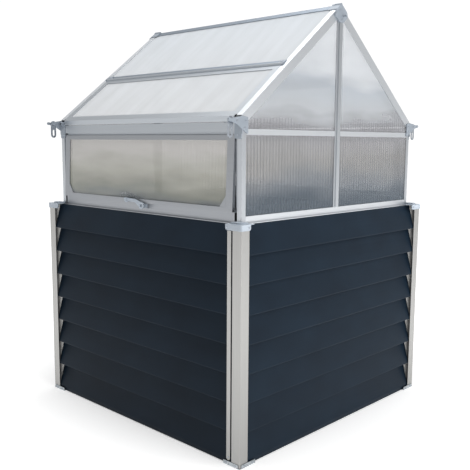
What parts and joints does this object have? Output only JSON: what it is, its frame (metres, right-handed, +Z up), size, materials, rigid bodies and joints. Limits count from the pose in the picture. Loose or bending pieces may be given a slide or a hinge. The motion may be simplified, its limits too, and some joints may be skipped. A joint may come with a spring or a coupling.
{
  "type": "cold frame",
  "caption": "Raised cold frame: slatted planting bed on aluminium corner posts with a glazed gabled top, hinged roof lids, hinged flaps, latches and hanging stays",
  "frame": {"origin": "on the ground under the centre of the frame", "axes": "+Z up, +X out of the right-hand gable, -Y out of the front flap with the latch; the ridge runs along X"},
  "size_m": [1.1834, 1.22, 1.6485],
  "materials": {
    "frame_aluminium": "light grey powder coat, satin",
    "post_aluminium": "satin anodised extrusion",
    "board_plastic": "matte anthracite, extruded",
    "cap_plastic": "silver-grey moulded",
    "bracket_casting": "silver-grey cast, satin",
    "stay_steel": "zinc plated",
    "galvanised_steel": "galvanised",
    "twin_wall_sheet": "translucent fluted polycarbonate",
    "tray_plastic": "black moulded"
  },
  "bodies": {
    "frame": {"board_lock_strips": "post_aluminium", "boards_front": "board_plastic", "boards_left": "board_plastic", "boards_rear": "board_plastic", "boards_right": "board_plastic", "corner_caps": "cap_plastic", "corner_post_front_left": "post_aluminium", "corner_post_front_right": "post_aluminium", "corner_post_rear_left": "post_aluminium", "corner_post_rear_right": "post_aluminium", "eave_brackets": "bracket_casting", "eave_rail_front": "frame_aluminium", "eave_rail_rear": "frame_aluminium", "feet": "galvanised_steel", "front_sill": "frame_aluminium", "gable_mullion_left": "frame_aluminium", "gable_mullion_right": "frame_aluminium", "gable_rail_left": "frame_aluminium", "gable_rail_right": "frame_aluminium", "gable_sheets_left": "twin_wall_sheet", "gable_sheets_right": "twin_wall_sheet", "gable_transoms_left": "frame_aluminium", "gable_transoms_right": "frame_aluminium", "ground_rails": "board_plastic", "latch_keepers": "cap_plastic", "planter_trays": "tray_plastic", "purlin_brackets": "bracket_casting", "purlin_front": "frame_aluminium", "purlin_rear": "frame_aluminium", "rafters_left": "frame_aluminium", "rafters_right": "frame_aluminium", "rear_sill": "frame_aluminium", "ridge_beam": "frame_aluminium", "ridge_connectors": "bracket_casting", "screws": "stay_steel", "tray_beams": "galvanised_steel", "tray_ledgers": "galvanised_steel", "upper_post_front_left": "frame_aluminium", "upper_post_front_right": "frame_aluminium", "upper_post_rear_left": "frame_aluminium", "upper_post_rear_right": "frame_aluminium", "upper_roof_sheets": "twin_wall_sheet"},
    "lid_front": {"lid_front_frame": "frame_aluminium", "lid_front_sheet": "twin_wall_sheet"},
    "lid_rear": {"lid_rear_frame": "frame_aluminium", "lid_rear_sheet": "twin_wall_sheet"},
    "flap_front": {"flap_front_frame": "frame_aluminium", "flap_front_gussets": "frame_aluminium", "flap_front_sheet": "twin_wall_sheet", "latch_front_base": "cap_plastic"},
    "flap_rear": {"flap_rear_frame": "frame_aluminium", "flap_rear_gussets": "frame_aluminium", "flap_rear_sheet": "twin_wall_sheet", "latch_rear_base": "cap_plastic"},
    "latch_front": {"latch_front_lever": "cap_plastic"},
    "latch_rear": {"latch_rear_lever": "cap_plastic"},
    "stay_front_right": {"stay_front_right": "stay_steel"},
    "stay_front_left": {"stay_front_left": "stay_steel"},
    "stay_rear_right": {"stay_rear_right": "stay_steel"},
    "stay_rear_left": {"stay_rear_left": "stay_steel"}
  },
  "joints": [
    {"name": "lid_front_hinge", "type": "hinge", "parent": "frame", "child": "lid_front", "pos_m": [0, -0.31118, 1.40134], "axis": [-1, 0, 0], "range_deg": [0, 95]},
    {"name": "lid_rear_hinge", "type": "hinge", "parent": "frame", "child": "lid_rear", "pos_m": [0, 0.31118, 1.40134], "axis": [1, 0, 0], "range_deg": [0, 95]},
    {"name": "flap_front_hinge", "type": "hinge", "parent": "frame", "child": "flap_front", "pos_m": [0, -0.535, 1.15], "axis": [-1, 0, 0], "range_deg": [0, 78]},
    {"name": "flap_rear_hinge", "type": "hinge", "parent": "frame", "child": "flap_rear", "pos_m": [0, 0.535, 1.15], "axis": [1, 0, 0], "range_deg": [0, 78]},
    {"name": "latch_front_turn", "type": "hinge", "parent": "flap_front", "child": "latch_front", "pos_m": [-0.062, -0.56088, 0.89543], "axis": [0, -0.9991, 0.0419], "range_deg": [0, 90]},
    {"name": "latch_rear_turn", "type": "hinge", "parent": "flap_rear", "child": "latch_rear", "pos_m": [0.062, 0.56088, 0.89543], "axis": [0, 0.9991, 0.0419], "range_deg": [0, 90]},
    {"name": "stay_front_right_swing", "type": "hinge", "parent": "frame", "child": "stay_front_right", "pos_m": [0.534, -0.588, 1.1965], "axis": [-1, 0, 0], "range_deg": [-30, 150]},
    {"name": "stay_front_left_swing", "type": "hinge", "parent": "frame", "child": "stay_front_left", "pos_m": [-0.534, -0.588, 1.1965], "axis": [-1, 0, 0], "range_deg": [-30, 150]},
    {"name": "stay_rear_right_swing", "type": "hinge", "parent": "frame", "child": "stay_rear_right", "pos_m": [0.534, 0.588, 1.1965], "axis": [1, 0, 0], "range_deg": [-30, 150]},
    {"name": "stay_rear_left_swing", "type": "hinge", "parent": "frame", "child": "stay_rear_left", "pos_m": [-0.534, 0.588, 1.1965], "axis": [1, 0, 0], "range_deg": [-30, 150]}
  ]
}
